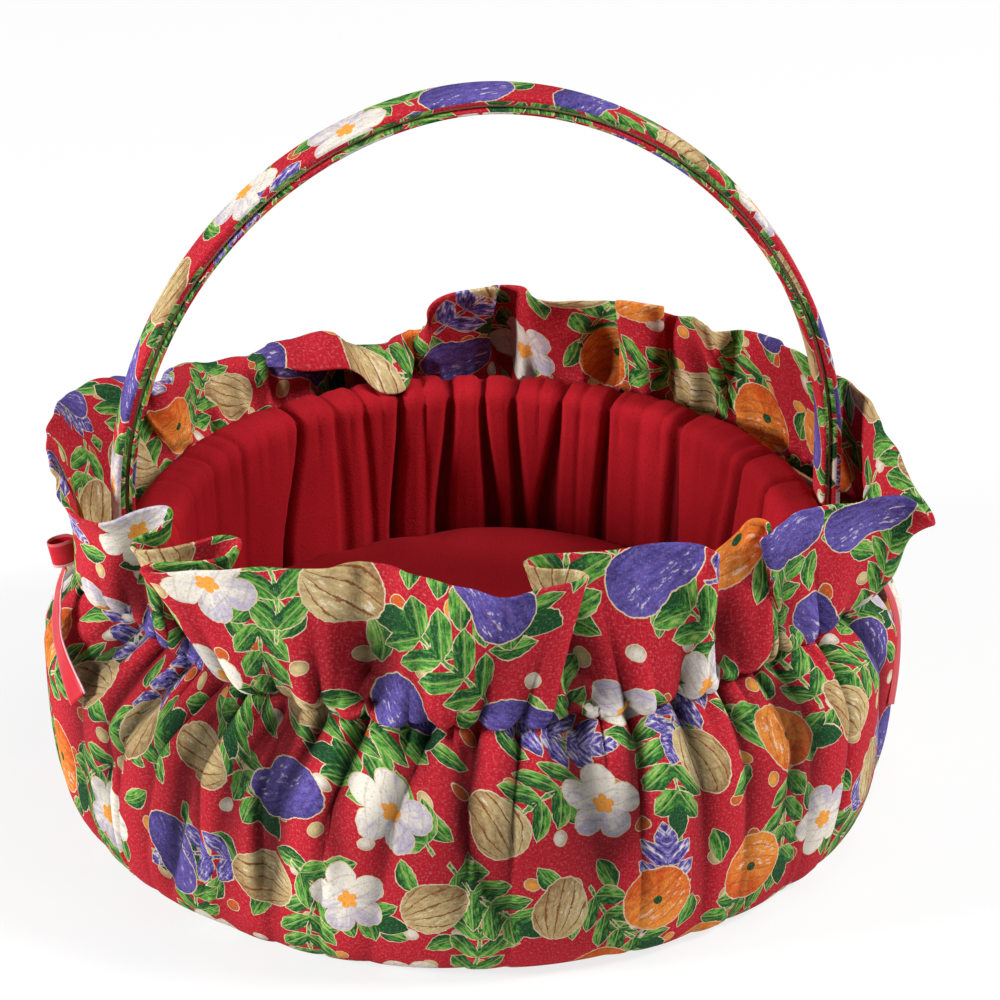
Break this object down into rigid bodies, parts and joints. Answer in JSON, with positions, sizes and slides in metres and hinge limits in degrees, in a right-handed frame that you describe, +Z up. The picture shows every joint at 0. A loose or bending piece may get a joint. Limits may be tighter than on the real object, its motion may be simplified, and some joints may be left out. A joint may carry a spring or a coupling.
{
  "type": "fabric basket",
  "caption": "Round fabric basket: padded card tub in a gathered printed cover, with a ruffled rim, plain lining, lift-out floor pad, arched handle and ribbon ties.",
  "frame": {"origin": "centre of the round underside, on the surface that the basket stands on", "axes": "+Z up; the handle's arch lies in the XZ plane; -Y is the front"},
  "size_m": [0.2188, 0.2196, 0.1929],
  "materials": {
    "printed_cotton": "plain-weave cotton with a print on a red ground",
    "red_cotton": "plain-weave cotton, matte",
    "satin_ribbon": "satin",
    "fibre_fill": "loose polyester fibre",
    "elastic": "braided elastic",
    "card": "grey-brown card, uncoated",
    "brass": "polished"
  },
  "bodies": {
    "basket": {"base_disc": "red_cotton", "outer_cover": "printed_cotton", "stuffing": "fibre_fill", "shell_floor": "card", "shell_wall": "card", "rim_wadding": "fibre_fill", "lining": "red_cotton", "rim_elastic": "elastic", "ruffle": "printed_cotton", "handle_core": "card", "handle_outer_cover": "printed_cotton", "handle_inner_cover": "printed_cotton", "handle_brad_left_upper": "brass", "handle_brad_left_lower": "brass", "handle_brad_right_upper": "brass", "handle_brad_right_lower": "brass", "ribbon_loop_left": "satin_ribbon", "ribbon_loop_right": "satin_ribbon", "ribbon_tail_left": "satin_ribbon", "ribbon_tail_right": "satin_ribbon"},
    "floor_pad": {"pad_board": "card", "pad_filling": "fibre_fill", "pad_cover": "red_cotton"}
  },
  "joints": [
    {"name": "floor_pad_lift", "type": "slide", "parent": "basket", "child": "floor_pad", "axis": [0, 0, 1], "range_m": [0, 0.088]}
  ]
}
